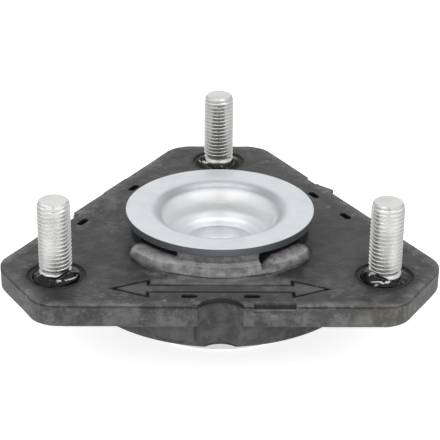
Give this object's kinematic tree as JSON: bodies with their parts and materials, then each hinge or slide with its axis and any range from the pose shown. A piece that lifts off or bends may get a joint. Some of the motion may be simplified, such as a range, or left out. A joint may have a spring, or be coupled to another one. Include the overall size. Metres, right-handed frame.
{
  "type": "strut mount",
  "caption": "Triangular rubber-bonded strut top mount with threaded studs at the corners and a zinc-plated flanged cup in the centre for the damper rod.",
  "frame": {"origin": "on the strut axis at the plate's top face, in the centre of the stud circle", "axes": "+Z along the studs, away from the plate; -Y towards the long side with the arrow and the notch; +Y through the rear stud"},
  "size_m": [0.133, 0.1176, 0.0495],
  "materials": {
    "rubber": "moulded, matt, dusty",
    "plate_steel": "pressed sheet steel",
    "cup_zinc": "bright zinc plate, satin",
    "base_zinc": "bright zinc plate, satin",
    "stud_zinc": "zinc plate, satin"
  },
  "bodies": {
    "root": {"rubber_body": "rubber", "mounting_plate": "plate_steel", "upper_cup": "cup_zinc", "lower_cup": "base_zinc", "stud_rear": "stud_zinc", "stud_left": "stud_zinc", "stud_right": "stud_zinc"}
  },
  "joints": []
}
